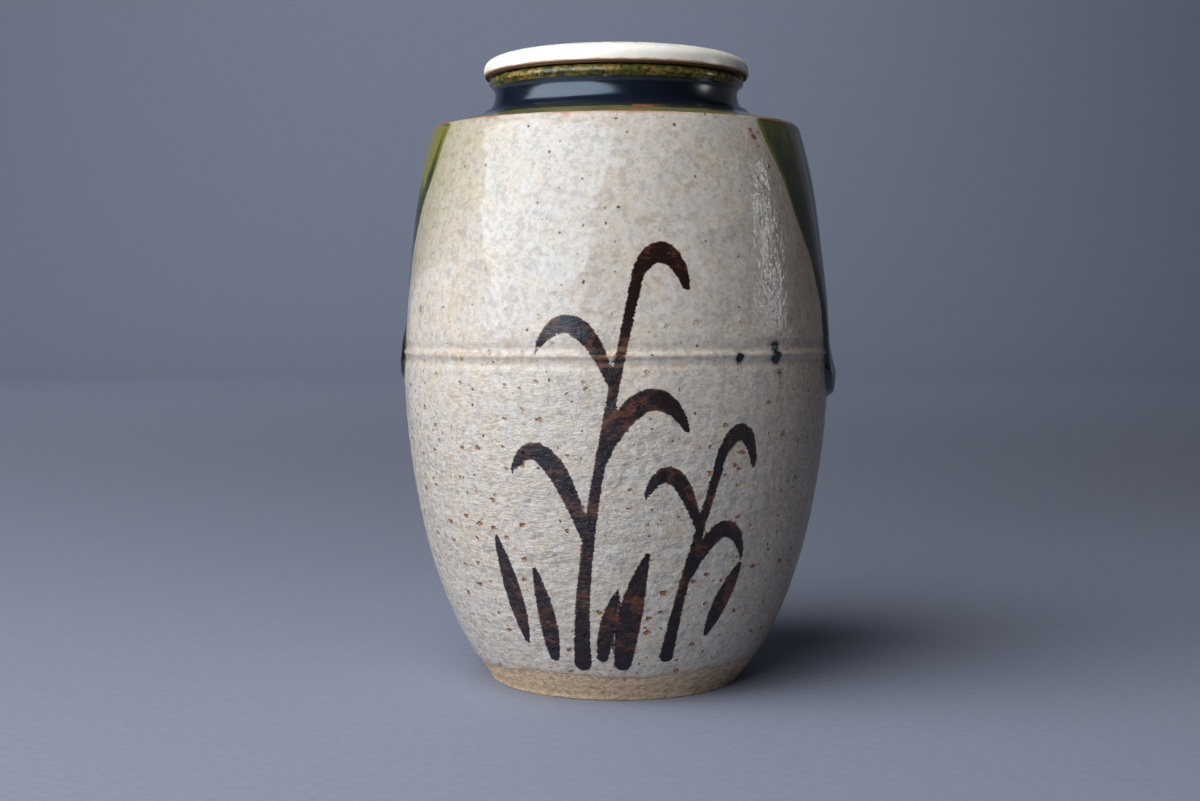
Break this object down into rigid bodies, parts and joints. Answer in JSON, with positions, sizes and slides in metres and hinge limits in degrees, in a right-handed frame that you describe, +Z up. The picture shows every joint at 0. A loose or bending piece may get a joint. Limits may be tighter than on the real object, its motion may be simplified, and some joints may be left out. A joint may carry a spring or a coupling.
{
  "type": "tea caddy",
  "caption": "Small stoneware jar for powdered tea, with a waisted neck, green glaze runs over cream glaze and a flat turned lid that lifts off.",
  "frame": {"origin": "centre of the flat foot, on the plane that the jar stands on", "axes": "+Z up along the jar's axis; the front of the jar, between the two green runs, faces -Y"},
  "size_m": [0.0652, 0.0634, 0.0934],
  "materials": {
    "cream_glaze": "crackled, speckled glossy cream glaze over tan stoneware, bare at the foot",
    "green_glaze": "thick glossy copper-green glaze, almost black where it pools",
    "lid_ivory": "polished ivory-coloured turned resin",
    "gilt_paper": "gold leaf on paper, satin"
  },
  "bodies": {
    "jar": {"jar_body": "cream_glaze", "green_glaze": "green_glaze"},
    "lid": {"lid": "lid_ivory", "gilt_lining": "gilt_paper"}
  },
  "joints": [
    {"name": "lid_lift", "type": "slide", "parent": "jar", "child": "lid", "axis": [0, 0, 1], "range_m": [0, 0.06]}
  ]
}
